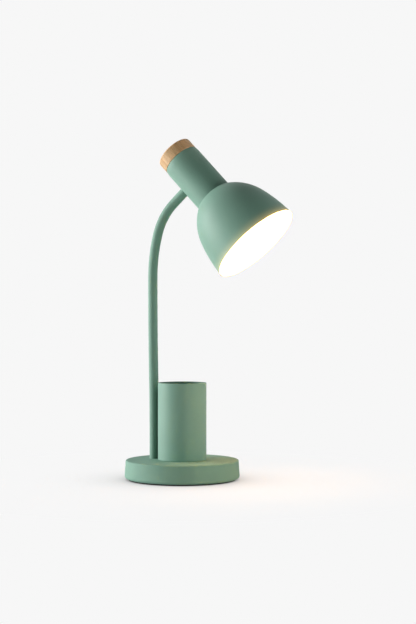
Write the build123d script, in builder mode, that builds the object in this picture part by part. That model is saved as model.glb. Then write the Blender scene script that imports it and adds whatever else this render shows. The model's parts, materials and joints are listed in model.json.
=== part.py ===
from build123d import *

import os
from math import atan2, cos, pi, radians, sin, tan

os.makedirs("parts", exist_ok=True)

# A desk lamp with a pen cup and a flexible neck, in millimetres. The origin is the middle of the pad
# that the base stands on, +Z is up, the head points to +X and the neck stands behind the cup, at -X.

# Clearances and cuts that all pieces share
overrun = 1.0
hole_clearance = 0.2
slip_clearance = 0.1
thread_clearance = 0.05
contact_gap = 0.3

# Base: a drawn steel cover with a rolled lower edge, on a soft pad
base_diameter = 170.0
base_taper = 1.8
base_height = 27.0
base_wall = 1.5
base_top_edge = 1.8
base_curl = 4.0
pad_inset = 2.0
pad_height = 2.0
plate_thickness = 2.0
plate_clearance = 0.4

# Ballast disc and the screws that hold the bottom plate to its bosses
ballast_rim_room = 8.0
ballast_thickness = 11.0
boss_diameter = 11.0
boss_margin = 4.5
boss_count = 3
plate_screw_diameter = 3.5
plate_screw_head_diameter = 6.6
plate_screw_head_height = 1.6
plate_screw_length = 10.0

# Pen cup and the screw through its floor
cup_diameter = 71.5
cup_height = 113.5
cup_wall = 1.2
cup_foot_edge = 1.4
cup_rim_edge = 0.45
cup_screw_diameter = 5.0
cup_screw_head_diameter = 9.0
cup_screw_head_height = 2.6
cup_screw_grip = 9.0
cup_screw_socket = 3.0
cup_screw_socket_depth = 1.4

# Flexible neck: a steel hose in a silicone sleeve, cut into links where it bends
sleeve_diameter = 14.0
sleeve_wall = 1.5
hose_bore = 6.0
cup_neck_gap = 3.25
nipple_length = 15.0
lower_length = 105.0
lower_turn = -1.1
free_length = 148.6
free_turn = 1.1
free_links = 7
slow_bend_radius = 254.0
slow_bend_turn = 14.9
slow_bend_links = 3
tight_bend_radius = 93.3
tight_bend_turn = 31.7
tight_bend_links = 2
hinge_limit = 9.0
link_gap = 0.4

# Threaded end of the neck, its nut and washer
stud_diameter = 8.0
stud_bore = 4.4
stud_overhang = 0.8
nut_flats = 13.0
nut_height = 4.0
washer_diameter = 18.0
washer_thickness = 1.2

# Cord gland in the base's rear wall
gland_azimuth = 180.0
gland_height = 13.0
gland_bore = 6.6
gland_body_diameter = 10.0
gland_flange_diameter = 14.0
gland_flange_height = 2.5
gland_flange_edge = 0.8
gland_tail = 5.0
gland_lip = 0.7
gland_lip_length = 1.6

# Rocker switch in the base's rear wall
switch_azimuth = 140.0
switch_height = 15.0
bezel_width = 15.0
bezel_height = 10.5
bezel_thickness = 1.6
bezel_edge = 0.5
housing_width = 13.0
housing_height = 8.4
housing_depth = 13.0
well_width = 10.9
well_depth = 6.2
rocker_length = 8.8
rocker_width = 6.4
rocker_pivot_depth = 2.0
rocker_end_rise = 4.6
rocker_middle_rise = 3.7
rocker_flank_rise = 2.2
rocker_flank_taper = 0.4
rocker_foot_length = 3.2
rocker_foot_drop = 1.6
rocker_pin_diameter = 1.8
rocker_pin_reach = 0.6
rocker_tilt = 11.0

# Terminal block and leads inside the base
block_length = 14.0
block_width = 22.0
block_height = 10.0
block_edge = 1.0
block_gap = 4.0
block_screw_diameter = 3.6
block_screw_drop = 1.0
lead_diameter = 3.2
lead_rise = 0.5
lead_bend = 3.4
switch_lead_bend = 4.0
switch_lead_run = 7.0
switch_lead_turn_run = 9.0

# Head: neck tube, bell shade and wooden cap, measured along the head's axis from the shade's mouth
ferrule_length = 24.4
ferrule_edge = 0.5
neck_diameter = 57.2
neck_length = 77.4
neck_wall = 1.0
neck_entry = 39.9
neck_shoulder_length = 9.0
neck_shoulder_drop = 0.9
shade_mouth_diameter = 136.6
shade_length = 95.6
shade_wall = 0.8
shade_flare_length = 17.0
shade_flare_slope = 6.5
shade_flank_radius = 219.4
shade_flank_slope = 16.1
shade_shoulder = 0.3
cap_diameter = 56.0
cap_length = 17.7
cap_edge = 2.4
cap_joint_edge = 0.5
cap_recess_diameter = 24.0
cap_recess_depth = 10.0
cap_screw_diameter = 3.0
cap_screw_head_diameter = 6.0
cap_screw_head_height = 2.0
cap_screw_length = 9.0
cap_screw_spacing = 36.0
saddle_height = 2.4

# Lampholder, its shade ring and the hollow rod that carries it
holder_front = 11.0
holder_rear = 28.0
holder_thread_diameter = 39.6
holder_flange_diameter = 48.0
holder_flange_thickness = 3.0
holder_rear_diameter = 36.0
holder_bore_diameter = 28.0
holder_bore_depth = 30.0
ring_diameter = 50.0
ring_height = 6.0
ring_edge = 1.0
shell_inset = 4.0
shell_length = 22.0
shell_wall = 0.45
holder_contact_diameter = 8.0
rod_diameter = 10.0
rod_bore = 6.6
rod_grip = 6.0
rod_nut_flats = 14.0
rod_nut_height = 3.5
rod_overhang = 1.0

# Bulb
bulb_cap_clearance = 0.25
bulb_thread_depth = 0.9
bulb_thread_pitch = 3.6
bulb_thread_count = 5
bulb_cap_length = 22.0
bulb_collar_length = 2.0
bulb_tip_diameter = 9.0
bulb_tip_top_diameter = 6.0
bulb_tip_length = 3.5
bulb_diameter = 45.0
bulb_waist_diameter = 26.2
bulb_waist_length = 2.0
bulb_housing_length = 22.0
bulb_globe_cut = 10.0
bulb_globe_wall = 1.6
bulb_cap_wall = 0.5
bulb_housing_wall = 1.8

# Heights in the base
base_top = pad_height + base_height
base_under = base_top - base_wall
plate_top = pad_height + plate_thickness
ballast_bottom = base_under - ballast_thickness

# Radii worked out from the diameters
base_radius = base_diameter / 2
base_top_radius = base_radius - base_taper
base_opening_radius = base_radius - base_curl
ballast_radius = base_top_radius - housing_depth - ballast_rim_room
boss_circle = ballast_radius - boss_diameter / 2 - boss_margin
cup_radius = cup_diameter / 2
sleeve_radius = sleeve_diameter / 2
sleeve_bore_radius = sleeve_radius - sleeve_wall
hose_radius = sleeve_bore_radius - slip_clearance
stud_radius = stud_diameter / 2
stud_hole_radius = stud_radius + hole_clearance
neck_radius = neck_diameter / 2
neck_back_radius = neck_radius - neck_shoulder_drop
neck_bore_radius = neck_radius - neck_wall
neck_x = -(cup_radius + cup_neck_gap + sleeve_radius)


def heading_vector(heading):
    """The hose's direction in the XZ plane, its heading measured from +Z towards +X."""
    return Vector(sin(radians(heading)), 0, cos(radians(heading)))


def side_vector(heading):
    """The direction square to the hose in the XZ plane, on the side that a positive turn bends to."""
    return Vector(cos(radians(heading)), 0, -sin(radians(heading)))


class Stretch:
    """One length of hose on a circular arc: where it starts, its length and how far it turns."""

    def __init__(self, start, heading, length, turn):
        self.start = start
        self.heading = heading
        self.turn = turn
        radius = length / radians(turn)
        self.centre = start + side_vector(heading) * radius
        self.end_heading = heading + turn
        self.end = self.centre - side_vector(self.end_heading) * radius

    def section(self):
        """The plane square to the hose at the start."""
        return Plane(self.start, x_dir=(0, 1, 0), z_dir=heading_vector(self.heading))

    def turn_axis(self):
        """The axis that the section is turned about to follow the arc."""
        return Axis(self.centre, (0, 1 if self.turn > 0 else -1, 0))


# The neck's route: upright out of the base, then the lower length, then the links
zones = [
    (free_length, free_turn, free_links),
    (slow_bend_radius * radians(slow_bend_turn), slow_bend_turn, slow_bend_links),
    (tight_bend_radius * radians(tight_bend_turn), tight_bend_turn, tight_bend_links),
]
neck_foot = Vector(neck_x, 0, base_top)
lower = Stretch(neck_foot + Vector(0, 0, nipple_length), 0, lower_length, lower_turn)
links = []
previous = lower
for zone_length, zone_turn, zone_links in zones:
    for _ in range(zone_links):
        link_length = zone_length / zone_links
        previous = Stretch(previous.end, previous.end_heading, link_length, zone_turn / zone_links)
        links.append(previous)

# The head's own directions: the neck enters its side, and its axis runs from the mouth to the cap
hose_end = links[-1].end
hose_direction = heading_vector(links[-1].end_heading)
head_direction = -side_vector(links[-1].end_heading)
neck_centre = hose_end + hose_direction * (ferrule_length + neck_radius)
mouth_centre = neck_centre - head_direction * (shade_length + neck_entry)
head_profile = Plane(mouth_centre, x_dir=hose_direction, z_dir=(0, -1, 0))
head_axis = Axis(mouth_centre, head_direction)
hose_axis = Axis(hose_end, hose_direction)

# Places along the head's axis, from the mouth
neck_back = shade_length + neck_length
shoulder_start = neck_back - neck_shoulder_length
holder_start = shade_length - holder_front
holder_end = shade_length + holder_rear
entry = shade_length + neck_entry
bulb_cap_start = holder_start + bulb_waist_length
bulb_cap_end = bulb_cap_start + bulb_cap_length
bulb_tip_end = bulb_cap_end + bulb_tip_length
bulb_cap_radius = holder_bore_diameter / 2 - shell_wall - slip_clearance - bulb_cap_clearance


def head_section(distance):
    """The plane square to the head's axis at a distance behind the mouth, facing the cap."""
    return Plane(mouth_centre + head_direction * distance, x_dir=hose_direction, z_dir=head_direction)


def neck_section(distance):
    """The plane square to the hose's line into the head, a distance out from the head's axis."""
    return Plane(neck_centre - hose_direction * distance, x_dir=(0, 1, 0), z_dir=hose_direction)


def wall_plane(azimuth, height):
    """A plane on the base's sloping side wall: it faces out, and its Y runs up the wall."""
    slope = base_taper / base_height
    radius = base_radius - slope * (height - pad_height)
    outward = Vector(cos(radians(azimuth)), sin(radians(azimuth)), 0)
    across = Vector(-sin(radians(azimuth)), cos(radians(azimuth)), 0)
    return Plane(outward * radius + Vector(0, 0, height), x_dir=across, z_dir=outward + Vector(0, 0, slope))


gland_plane = wall_plane(gland_azimuth, gland_height)
switch_plane = wall_plane(switch_azimuth, switch_height)


# Base body, whole: the cover is hollowed out of it, and the flanges on its wall are cut to fit it
with BuildPart() as base_body:
    with BuildSketch(Plane.XZ):
        with BuildLine():
            Polyline(
                (0, pad_height),
                (base_radius, pad_height),
                (base_top_radius, base_top),
                (0, base_top),
                close=True,
            )
        make_face()
    revolve(axis=Axis.Z)
    fillet(base_body.edges().filter_by(GeomType.CIRCLE).sort_by(Axis.Z)[-1], base_top_edge)
    fillet(base_body.edges().filter_by(GeomType.CIRCLE).sort_by(Axis.Z)[0], base_curl)

with BuildPart() as base_hollow:
    add(base_body.part)
    offset(amount=-base_wall)

with BuildPart() as base_cover:
    add(base_body.part)
    add(base_hollow.part, mode=Mode.SUBTRACT)
    with BuildSketch(Plane.XY.offset(pad_height - overrun)):
        Circle(base_opening_radius)
    extrude(amount=base_wall + 2 * overrun, mode=Mode.SUBTRACT)
    with BuildSketch(Plane.XY.offset(base_top + overrun)):
        Circle(cup_screw_diameter / 2 + hole_clearance)
        with Locations((neck_x, 0)):
            Circle(stud_hole_radius)
    extrude(amount=-(base_wall + 2 * overrun), mode=Mode.SUBTRACT)
    with BuildSketch(gland_plane):
        Circle(gland_body_diameter / 2 + slip_clearance)
    extrude(amount=2 * base_wall + overrun, both=True, mode=Mode.SUBTRACT)
    with BuildSketch(switch_plane):
        Rectangle(housing_width + 2 * slip_clearance, housing_height + 2 * slip_clearance)
    extrude(amount=2 * base_wall + overrun, both=True, mode=Mode.SUBTRACT)

with BuildPart() as ballast_disc:
    with BuildSketch(Plane.XY.offset(ballast_bottom)):
        Circle(ballast_radius)
    extrude(amount=ballast_thickness)
    with BuildSketch(Plane.XY.offset(plate_top)):
        with PolarLocations(boss_circle, boss_count):
            Circle(boss_diameter / 2)
    extrude(amount=ballast_bottom - plate_top)
    with BuildSketch(Plane.XY.offset(ballast_bottom - overrun)):
        Circle(cup_screw_diameter / 2 + thread_clearance)
        with Locations((neck_x, 0)):
            Circle(stud_hole_radius)
    extrude(amount=ballast_thickness + 2 * overrun, mode=Mode.SUBTRACT)
    with BuildSketch(Plane.XY.offset(plate_top - overrun)):
        with PolarLocations(boss_circle, boss_count):
            Circle(plate_screw_diameter / 2 + thread_clearance)
    extrude(amount=plate_screw_length + overrun, mode=Mode.SUBTRACT)

with BuildPart() as bottom_plate:
    with BuildSketch(Plane.XY.offset(pad_height)):
        Circle(base_opening_radius - plate_clearance)
    extrude(amount=plate_thickness)
    with Locations(Plane((0, 0, pad_height), x_dir=(1, 0, 0), z_dir=(0, 0, -1))):
        with PolarLocations(boss_circle, boss_count):
            CounterSinkHole(
                radius=plate_screw_diameter / 2 + hole_clearance,
                counter_sink_radius=plate_screw_head_diameter / 2 + hole_clearance,
            )

with BuildPart() as bottom_screws:
    with PolarLocations(boss_circle, boss_count):
        with Locations((0, 0, pad_height)):
            Cone(
                plate_screw_head_diameter / 2,
                plate_screw_diameter / 2,
                plate_screw_head_height,
                align=(Align.CENTER, Align.CENTER, Align.MIN),
            )
            Cylinder(
                plate_screw_diameter / 2,
                plate_screw_length,
                align=(Align.CENTER, Align.CENTER, Align.MIN),
            )

with BuildPart() as base_pad:
    with BuildSketch(Plane.XY):
        Circle(base_opening_radius - pad_inset)
    extrude(amount=pad_height)

with BuildPart() as pen_cup:
    with BuildSketch(Plane.XY.offset(base_top)):
        Circle(cup_radius)
    extrude(amount=cup_height)
    fillet(pen_cup.edges().sort_by(Axis.Z)[0], cup_foot_edge)
    with BuildSketch(Plane.XY.offset(base_top + cup_wall)):
        Circle(cup_radius - cup_wall)
    extrude(amount=cup_height, mode=Mode.SUBTRACT)
    with BuildSketch(Plane.XY.offset(base_top - overrun)):
        Circle(cup_screw_diameter / 2 + hole_clearance)
    extrude(amount=cup_wall + 2 * overrun, mode=Mode.SUBTRACT)
    fillet(pen_cup.faces().sort_by(Axis.Z)[-1].edges(), cup_rim_edge)

with BuildPart() as cup_screw:
    with BuildSketch(Plane.XY.offset(base_top + cup_wall)):
        Circle(cup_screw_head_diameter / 2)
    extrude(amount=cup_screw_head_height)
    fillet(cup_screw.edges().sort_by(Axis.Z)[-1], cup_screw_head_height / 3)
    with BuildSketch(Plane.XY.offset(base_top + cup_wall)):
        Circle(cup_screw_diameter / 2)
    extrude(amount=-(cup_wall + base_wall + cup_screw_grip))
    with BuildSketch(Plane.XY.offset(base_top + cup_wall + cup_screw_head_height)):
        RegularPolygon(cup_screw_socket / 2, 6, major_radius=False)
    extrude(amount=-cup_screw_socket_depth, mode=Mode.SUBTRACT)


# Lower end of the neck: a nipple in the hose, clamped through the cover and the ballast
nut_bottom = ballast_bottom - washer_thickness - nut_height
stud_end = nut_bottom - stud_overhang

with BuildPart() as neck_nipple:
    with BuildSketch(Plane.XY.offset(base_top)):
        with Locations((neck_x, 0)):
            Circle(hose_radius)
    extrude(amount=nipple_length)
    with BuildSketch(Plane.XY.offset(base_top)):
        with Locations((neck_x, 0)):
            Circle(stud_radius)
    extrude(amount=stud_end - base_top)
    with BuildSketch(Plane.XY.offset(stud_end - overrun)):
        with Locations((neck_x, 0)):
            Circle(stud_bore / 2)
    extrude(amount=base_top + nipple_length - stud_end + 2 * overrun, mode=Mode.SUBTRACT)

with BuildPart() as neck_washer:
    with BuildSketch(Plane.XY.offset(ballast_bottom)):
        with Locations((neck_x, 0)):
            Circle(washer_diameter / 2)
            Circle(stud_hole_radius, mode=Mode.SUBTRACT)
    extrude(amount=-washer_thickness)

with BuildPart() as neck_nut:
    with BuildSketch(Plane.XY.offset(nut_bottom)):
        with Locations((neck_x, 0)):
            RegularPolygon(nut_flats / 2, 6, major_radius=False)
            Circle(stud_radius + thread_clearance, mode=Mode.SUBTRACT)
    extrude(amount=nut_height)


def bend_cutter(point, heading, side):
    """What a bending joint takes off the hose on one side of it: all within a shallow cone of the joint."""
    along = heading_vector(heading) * side
    reach = sleeve_radius + overrun
    with BuildPart() as cutter:
        with BuildSketch(Plane(point, x_dir=(0, 1, 0), z_dir=along.cross(Vector(0, 1, 0)) * -1)):
            with BuildLine():
                Polyline(
                    (0, -overrun),
                    (reach, -overrun),
                    (reach, link_gap / 2 + reach * tan(radians(hinge_limit / 2))),
                    (0, link_gap / 2),
                    close=True,
                )
            make_face()
        revolve(axis=Axis(point, along))
    return cutter.part


def hose_tube(stretch, outer_radius, inner_radius, cut_start, cut_end):
    """A tube along one stretch of the neck, its ends cut back where it bends."""
    cutters = []
    if cut_start:
        cutters.append(bend_cutter(stretch.start, stretch.heading, 1))
    if cut_end:
        cutters.append(bend_cutter(stretch.end, stretch.end_heading, -1))
    with BuildPart() as tube:
        with BuildSketch(stretch.section()):
            Circle(outer_radius)
            Circle(inner_radius, mode=Mode.SUBTRACT)
        revolve(axis=stretch.turn_axis(), revolution_arc=abs(stretch.turn))
        for cutter in cutters:
            add(cutter, mode=Mode.SUBTRACT)
    return tube.part


# Lower length of the neck, which stands close behind the cup and doesn't bend
lower_sleeve_arc = hose_tube(lower, sleeve_radius, sleeve_bore_radius, False, True)
lower_hose_arc = hose_tube(lower, hose_radius, hose_bore / 2, False, True)

with BuildPart() as lower_sleeve:
    with BuildSketch(Plane(neck_foot, x_dir=(0, 1, 0), z_dir=(0, 0, 1))):
        Circle(sleeve_radius)
        Circle(sleeve_bore_radius, mode=Mode.SUBTRACT)
    extrude(amount=nipple_length)
    add(lower_sleeve_arc)

with BuildPart() as lower_hose:
    add(lower_hose_arc)

# Links of the neck: each a piece of sleeve on a piece of hose, the last one held in the ferrule
link_sleeves = []
link_hoses = []
for link in links:
    cut_top = link is not links[-1]
    sleeve_arc = hose_tube(link, sleeve_radius, sleeve_bore_radius, True, cut_top)
    hose_arc = hose_tube(link, hose_radius, hose_bore / 2, True, cut_top)
    with BuildPart() as link_sleeve:
        add(sleeve_arc)
    with BuildPart() as link_hose:
        add(hose_arc)
    link_sleeves.append(link_sleeve)
    link_hoses.append(link_hose)


# Cord gland: a bush in the rear wall with a plain bore
with BuildPart() as cord_gland:
    with BuildSketch(gland_plane):
        Circle(gland_flange_diameter / 2)
    extrude(amount=gland_flange_height, both=True)
    add(base_body.part, mode=Mode.SUBTRACT)
    fillet(
        cord_gland.faces().filter_by(GeomType.PLANE).sort_by(Axis.X)[0].edges(),
        gland_flange_edge,
    )
    with BuildSketch(gland_plane.offset(gland_flange_height / 2)):
        Circle(gland_body_diameter / 2)
    extrude(amount=-(gland_flange_height / 2 + base_wall + gland_tail))
    with BuildSketch(gland_plane.offset(-base_wall - contact_gap)):
        Circle(gland_body_diameter / 2 + gland_lip)
    extrude(amount=-gland_lip_length)
    with BuildSketch(gland_plane.offset(gland_flange_height + overrun)):
        Circle(gland_bore / 2)
    extrude(amount=-(gland_flange_height + base_wall + gland_tail + 2 * overrun), mode=Mode.SUBTRACT)


# Rocker switch: a housing through the wall and a rocker on a cross pin
pivot_point = switch_plane.origin - switch_plane.z_dir * rocker_pivot_depth
pivot_plane = Plane(pivot_point, x_dir=switch_plane.x_dir, z_dir=-switch_plane.y_dir)
rocker_slope = switch_plane.x_dir * cos(radians(rocker_tilt)) + switch_plane.z_dir * sin(radians(rocker_tilt))
rocker_plane = Plane(pivot_point, x_dir=rocker_slope, z_dir=-switch_plane.y_dir)
pin_half = rocker_width / 2 + rocker_pin_reach

with BuildPart() as switch_housing:
    with BuildSketch(switch_plane):
        RectangleRounded(bezel_width, bezel_height, bezel_edge * 2)
    extrude(amount=bezel_thickness, both=True)
    add(base_body.part, mode=Mode.SUBTRACT)
    fillet(switch_housing.faces().filter_by(switch_plane).edges(), bezel_edge)
    with BuildSketch(switch_plane.offset(bezel_thickness / 2)):
        Rectangle(housing_width, housing_height)
    extrude(amount=-(bezel_thickness / 2 + housing_depth))
    with BuildSketch(switch_plane.offset(bezel_thickness + overrun)):
        Rectangle(well_width, rocker_width + 2 * contact_gap)
    extrude(amount=-(bezel_thickness + overrun + well_depth), mode=Mode.SUBTRACT)
    with BuildSketch(pivot_plane):
        Circle(rocker_pin_diameter / 2 + thread_clearance)
    extrude(amount=pin_half + slip_clearance, both=True, mode=Mode.SUBTRACT)

with BuildPart() as switch_rocker:
    with BuildSketch(rocker_plane):
        with BuildLine():
            Polyline(
                (-rocker_length / 2, rocker_end_rise),
                (0, rocker_middle_rise),
                (rocker_length / 2, rocker_end_rise),
                (rocker_length / 2 - rocker_flank_taper, rocker_flank_rise),
                (rocker_foot_length / 2, -rocker_foot_drop),
                (-rocker_foot_length / 2, -rocker_foot_drop),
                (rocker_flank_taper - rocker_length / 2, rocker_flank_rise),
                close=True,
            )
        make_face()
    extrude(amount=rocker_width / 2, both=True)
    with BuildSketch(rocker_plane):
        Circle(rocker_pin_diameter / 2)
    extrude(amount=pin_half, both=True)


# Terminal block on the bottom plate, beside the neck's nut and under the ballast, with two leads
washer_edge = neck_x + washer_diameter / 2
block_x = washer_edge + block_gap + block_length / 2

with BuildPart() as terminal_block:
    with BuildSketch(Plane.XY.offset(plate_top)):
        with Locations((block_x, 0)):
            RectangleRounded(block_length, block_width, block_edge)
    extrude(amount=block_height)
    with BuildSketch(Plane.XY.offset(plate_top + block_height)):
        with Locations((block_x, 0)):
            with GridLocations(block_length / 2, block_width / 2, 2, 2):
                Circle(block_screw_diameter / 2)
    extrude(amount=-block_screw_drop, mode=Mode.SUBTRACT)

lead_radius = lead_diameter / 2
lead_floor = plate_top + lead_radius + lead_rise
lead_level = plate_top + block_height / 2
switch_back = switch_plane.origin - switch_plane.z_dir * housing_depth
switch_inward = Vector(-cos(radians(switch_azimuth)), -sin(radians(switch_azimuth)), 0)
switch_foot = Vector(switch_back.X, switch_back.Y, switch_height - housing_height / 4)

with BuildPart() as base_leads:
    with BuildLine() as lamp_lead:
        FilletPolyline(
            (neck_x, 0, stud_end + stud_overhang + nut_height),
            (neck_x, 0, lead_floor),
            (block_x - block_length / 2, 0, lead_floor),
            radius=lead_bend,
        )
    with BuildSketch(Plane(lamp_lead.line @ 0, z_dir=lamp_lead.line % 0)):
        Circle(lead_radius)
    sweep(path=lamp_lead.line)
    with BuildLine() as switch_lead:
        FilletPolyline(
            switch_foot,
            switch_foot + switch_inward * switch_lead_run,
            (block_x, block_width / 2 + switch_lead_turn_run, lead_level),
            (block_x, block_width / 2, lead_level),
            radius=switch_lead_bend,
        )
    with BuildSketch(Plane(switch_lead.line @ 0, z_dir=switch_lead.line % 0)):
        Circle(lead_radius)
    sweep(path=switch_lead.line)


# Upper end of the neck: a ferrule coped to the neck tube, with its stud, saddle and nut inside
saddle_face = neck_bore_radius - saddle_height
head_nut_end = saddle_face - nut_height
head_stud_end = head_nut_end - stud_overhang

with BuildPart() as head_ferrule:
    with BuildSketch(neck_section(neck_radius + ferrule_length)):
        Circle(sleeve_radius)
    extrude(amount=ferrule_length + neck_radius)
    fillet(head_ferrule.edges().filter_by(GeomType.CIRCLE).sort_by(hose_axis)[0], ferrule_edge)
    with BuildSketch(head_section(shade_length)):
        Circle(neck_radius)
    extrude(amount=neck_length, mode=Mode.SUBTRACT)
    with BuildSketch(neck_section(neck_radius + ferrule_length / 2)):
        Circle(stud_radius)
    extrude(amount=ferrule_length / 2 + neck_radius - head_stud_end)
    with BuildSketch(neck_section(neck_radius + ferrule_length + overrun)):
        Circle(stud_bore / 2)
    extrude(amount=ferrule_length + neck_radius - head_stud_end + 2 * overrun, mode=Mode.SUBTRACT)

with BuildPart() as head_saddle:
    with BuildSketch(head_section(shade_length)):
        Circle(neck_bore_radius)
    extrude(amount=neck_length)
    with BuildSketch(neck_section(neck_radius)):
        Circle(washer_diameter / 2)
        Circle(stud_hole_radius, mode=Mode.SUBTRACT)
    extrude(amount=neck_radius - saddle_face, mode=Mode.INTERSECT)

with BuildPart() as head_nut:
    with BuildSketch(neck_section(head_nut_end)):
        RegularPolygon(nut_flats / 2, 6, major_radius=False)
        Circle(stud_radius + thread_clearance, mode=Mode.SUBTRACT)
    extrude(amount=-nut_height)


# Neck tube: closed at the cap by its rear wall, open to the shade
def neck_outline(inset, start):
    """Draws the neck tube's half section, set in from its outside, with a soft shoulder at the cap."""
    back = neck_back - inset
    side = neck_radius - inset
    Polyline((neck_back_radius - inset, back), (0, back), (0, start), (side, start), (side, shoulder_start))
    TangentArc((side, shoulder_start), (neck_back_radius - inset, back), tangent=(0, 1))


with BuildPart() as neck_tube:
    with BuildSketch(head_profile):
        with BuildLine():
            neck_outline(0, shade_length)
        make_face()
    revolve(axis=head_axis)
    chamfer(neck_tube.faces().sort_by(head_axis)[-1].edges(), cap_joint_edge)
    with BuildSketch(head_profile):
        with BuildLine():
            neck_outline(neck_wall, shade_length - overrun)
        make_face()
    revolve(axis=head_axis, mode=Mode.SUBTRACT)
    with BuildSketch(neck_section(neck_radius + overrun)):
        Circle(stud_hole_radius)
    extrude(amount=neck_wall + 2 * overrun, mode=Mode.SUBTRACT)
    with BuildSketch(head_section(neck_back + overrun)):
        Circle(rod_diameter / 2 + hole_clearance)
        with Locations((0, cap_screw_spacing / 2), (0, -cap_screw_spacing / 2)):
            Circle(cap_screw_diameter / 2 + hole_clearance)
    extrude(amount=-(neck_wall + 2 * overrun), mode=Mode.SUBTRACT)


# Bell shade: a short flare at the mouth, a long flank and a rounder shoulder, drawn as tangent arcs
def slope_normal(slope):
    """The outward direction of the shade's skin where it slopes by so many degrees."""
    return Vector(cos(radians(slope)), sin(radians(slope)))


flare_end = Vector(shade_mouth_diameter / 2, 0) + shade_flare_length * Vector(
    -sin(radians(shade_flare_slope)), cos(radians(shade_flare_slope))
)
flank_centre = flare_end - slope_normal(shade_flare_slope) * shade_flank_radius
flank_end = flank_centre + slope_normal(shade_flank_slope) * shade_flank_radius
shoulder_span = Vector(neck_radius + shade_shoulder, shade_length) - flank_end
shoulder_radius = -shoulder_span.dot(shoulder_span) / (2 * shoulder_span.dot(slope_normal(shade_flank_slope)))
shoulder_centre = flank_end - slope_normal(shade_flank_slope) * shoulder_radius


def shade_outline(inset, top):
    """Draws the shade's half section, set in from its outside, and closes it along the axis."""
    flank = shade_flank_radius - inset
    shoulder = shoulder_radius - inset
    top_height = top - shoulder_centre.Y
    top_reach = (shoulder**2 - top_height**2) ** 0.5
    top_slope = atan2(top_height, top_reach) * 180 / pi
    mouth = Vector(shade_mouth_diameter / 2, 0) - slope_normal(shade_flare_slope) * inset
    flare = flare_end - slope_normal(shade_flare_slope) * inset
    flank_middle = flank_centre + slope_normal((shade_flare_slope + shade_flank_slope) / 2) * flank
    flank_stop = flank_centre + slope_normal(shade_flank_slope) * flank
    shoulder_middle = shoulder_centre + slope_normal((shade_flank_slope + top_slope) / 2) * shoulder
    shoulder_stop = shoulder_centre + slope_normal(top_slope) * shoulder
    Line(mouth, flare)
    ThreePointArc(flare, flank_middle, flank_stop)
    ThreePointArc(flank_stop, shoulder_middle, shoulder_stop)
    Polyline(shoulder_stop, (0, top), (0, mouth.Y), mouth)


with BuildPart() as shade:
    with BuildSketch(head_profile):
        with BuildLine():
            shade_outline(0, shade_length)
        make_face()
    revolve(axis=head_axis)
    with BuildSketch(head_profile):
        with BuildLine():
            shade_outline(shade_wall, shade_length - shade_wall)
        make_face()
    revolve(axis=head_axis, mode=Mode.SUBTRACT)
    with BuildSketch(head_section(shade_length - shade_wall - overrun)):
        Circle(holder_thread_diameter / 2 + hole_clearance)
    extrude(amount=shade_wall + 2 * overrun, mode=Mode.SUBTRACT)

with BuildPart() as wood_cap:
    with BuildSketch(head_section(neck_back)):
        Circle(cap_diameter / 2)
    extrude(amount=cap_length)
    fillet(wood_cap.faces().sort_by(head_axis)[-1].edges(), cap_edge)
    chamfer(wood_cap.faces().sort_by(head_axis)[0].edges(), cap_joint_edge)
    with BuildSketch(head_section(neck_back - overrun)):
        Circle(cap_recess_diameter / 2)
    extrude(amount=cap_recess_depth + overrun, mode=Mode.SUBTRACT)
    with BuildSketch(head_section(neck_back - overrun)):
        with Locations((0, cap_screw_spacing / 2), (0, -cap_screw_spacing / 2)):
            Circle(cap_screw_diameter / 2 + thread_clearance)
    extrude(amount=cap_screw_length + overrun, mode=Mode.SUBTRACT)

with BuildPart() as cap_screws:
    with BuildSketch(head_section(neck_back - neck_wall)):
        with Locations((0, cap_screw_spacing / 2), (0, -cap_screw_spacing / 2)):
            Circle(cap_screw_head_diameter / 2)
    extrude(amount=-cap_screw_head_height)
    fillet(cap_screws.faces().filter_by(head_axis).group_by(head_axis)[0].edges(), cap_screw_head_height / 3)
    with BuildSketch(head_section(neck_back - neck_wall)):
        with Locations((0, cap_screw_spacing / 2), (0, -cap_screw_spacing / 2)):
            Circle(cap_screw_diameter / 2)
    extrude(amount=cap_screw_length)


# Lampholder: a moulded body that clamps the shade with a ring, a screw shell and a centre contact
with BuildPart() as holder_body:
    with BuildSketch(head_section(holder_start)):
        Circle(holder_thread_diameter / 2)
    extrude(amount=holder_front + holder_flange_thickness)
    with BuildSketch(head_section(shade_length)):
        Circle(holder_flange_diameter / 2)
    extrude(amount=holder_flange_thickness)
    with BuildSketch(head_section(shade_length)):
        Circle(holder_rear_diameter / 2)
    extrude(amount=holder_rear)
    with BuildSketch(head_section(holder_start - overrun)):
        Circle(holder_bore_diameter / 2)
    extrude(amount=holder_bore_depth + overrun, mode=Mode.SUBTRACT)
    with BuildSketch(head_section(holder_end - rod_grip)):
        Circle(rod_diameter / 2 + thread_clearance)
    extrude(amount=rod_grip + overrun, mode=Mode.SUBTRACT)

with BuildPart() as shade_ring:
    with BuildSketch(head_section(shade_length - shade_wall)):
        Circle(ring_diameter / 2)
    extrude(amount=-ring_height)
    fillet(shade_ring.faces().sort_by(head_axis)[0].edges(), ring_edge)
    with BuildSketch(head_section(shade_length)):
        Circle(holder_thread_diameter / 2 + slip_clearance)
    extrude(amount=-(ring_height + shade_wall + overrun), mode=Mode.SUBTRACT)

with BuildPart() as holder_shell:
    with BuildSketch(head_section(holder_start + shell_inset)):
        Circle(holder_bore_diameter / 2 - slip_clearance)
        Circle(holder_bore_diameter / 2 - slip_clearance - shell_wall, mode=Mode.SUBTRACT)
    extrude(amount=shell_length)

with BuildPart() as holder_contact:
    with BuildSketch(head_section(holder_start + holder_bore_depth)):
        Circle(holder_contact_diameter / 2)
    extrude(amount=-(holder_start + holder_bore_depth - bulb_tip_end - contact_gap))

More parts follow.
